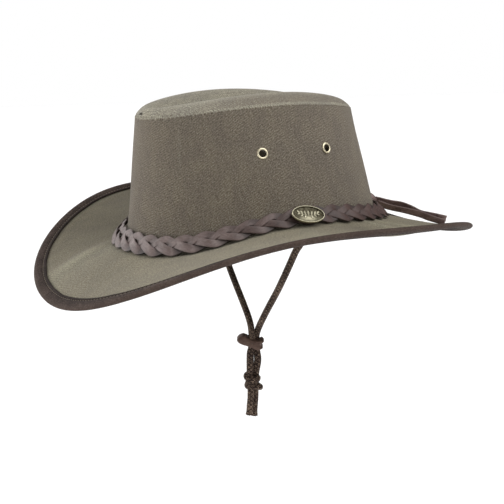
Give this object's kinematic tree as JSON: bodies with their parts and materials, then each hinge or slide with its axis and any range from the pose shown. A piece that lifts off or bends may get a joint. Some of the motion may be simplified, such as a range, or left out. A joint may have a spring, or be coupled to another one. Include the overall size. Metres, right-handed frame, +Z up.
{
  "type": "bush hat",
  "caption": "Canvas bush hat with a creased crown, upswept bound brim, plaited leather band with an oval badge, vent eyelets and a chin cord with a toggle.",
  "frame": {"origin": "middle of the head opening at the height of the brim seam, where the hat sits on a head", "axes": "+Z up through the crown, +Y towards the back of the hat, +X towards the wearer's left side, which carries the badge"},
  "size_m": [0.3174, 0.3467, 0.2653],
  "materials": {
    "crown_canvas": "matt waxed canvas, fine weave",
    "brim_canvas": "matt waxed canvas, lighter, fine weave",
    "binding_cloth": "dark brown folded binding with one row of stitches",
    "band_leather": "soft brown leather strips, satin",
    "tail_leather": "dark brown leather strip",
    "badge_brass": "antique brass, dark in the recesses, polished on the rim",
    "eyelet_brass": "pale brass, satin",
    "braided_cord": "round braided cord, dark brown",
    "toggle_leather": "dark red-brown leather, satin"
  },
  "bodies": {
    "root": {"crown_side": "crown_canvas", "crown_top": "crown_canvas", "brim": "brim_canvas", "brim_binding": "binding_cloth", "hat_band": "band_leather", "badge": "badge_brass", "eyelet_left_front": "eyelet_brass", "eyelet_left_back": "eyelet_brass", "eyelet_right_front": "eyelet_brass", "eyelet_right_back": "eyelet_brass", "band_knot": "tail_leather", "band_tail_upper": "tail_leather", "band_tail_lower": "tail_leather", "strap_tab_left": "crown_canvas", "strap_tab_right": "crown_canvas", "chin_cord_left": "braided_cord", "chin_cord_right": "braided_cord", "cord_toggle": "toggle_leather", "cord_knot": "braided_cord", "cord_end_left": "braided_cord", "cord_end_right": "braided_cord"}
  },
  "joints": []
}
